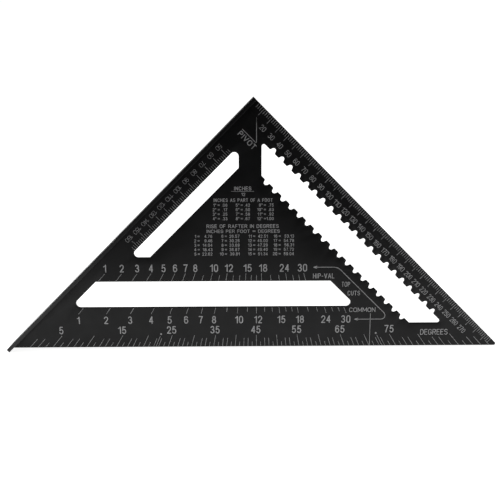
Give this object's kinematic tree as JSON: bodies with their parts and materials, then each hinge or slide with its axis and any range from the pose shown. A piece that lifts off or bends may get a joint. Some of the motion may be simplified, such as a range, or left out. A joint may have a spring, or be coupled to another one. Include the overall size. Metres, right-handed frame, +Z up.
{
  "type": "speed square",
  "caption": "Right-angled triangular layout square: a flat windowed blade with pencil notches, set in a T-shaped fence bar.",
  "frame": {"origin": "centre of the bounding box in X and Y, at the lowest point of the square standing on its long edge", "axes": "+X along the long edge from the fence's end to the far tip, +Y through the blade from its marked face to its back, +Z up to the right-angled corner"},
  "size_m": [0.4316, 0.0254, 0.2181],
  "materials": {
    "blade": "satin black anodised",
    "fence": "satin black anodised",
    "pins": "blackened steel, ground flush and worn",
    "markings": "light grey paint in shallow engraving"
  },
  "bodies": {
    "root": {"blade": "blade", "fence_bar": "fence", "drive_pin_1": "pins", "drive_pin_2": "pins", "drive_pin_3": "pins", "drive_pin_4": "pins", "drive_pin_5": "pins", "drive_pin_6": "pins", "drive_pin_7": "pins"}
  },
  "joints": []
}
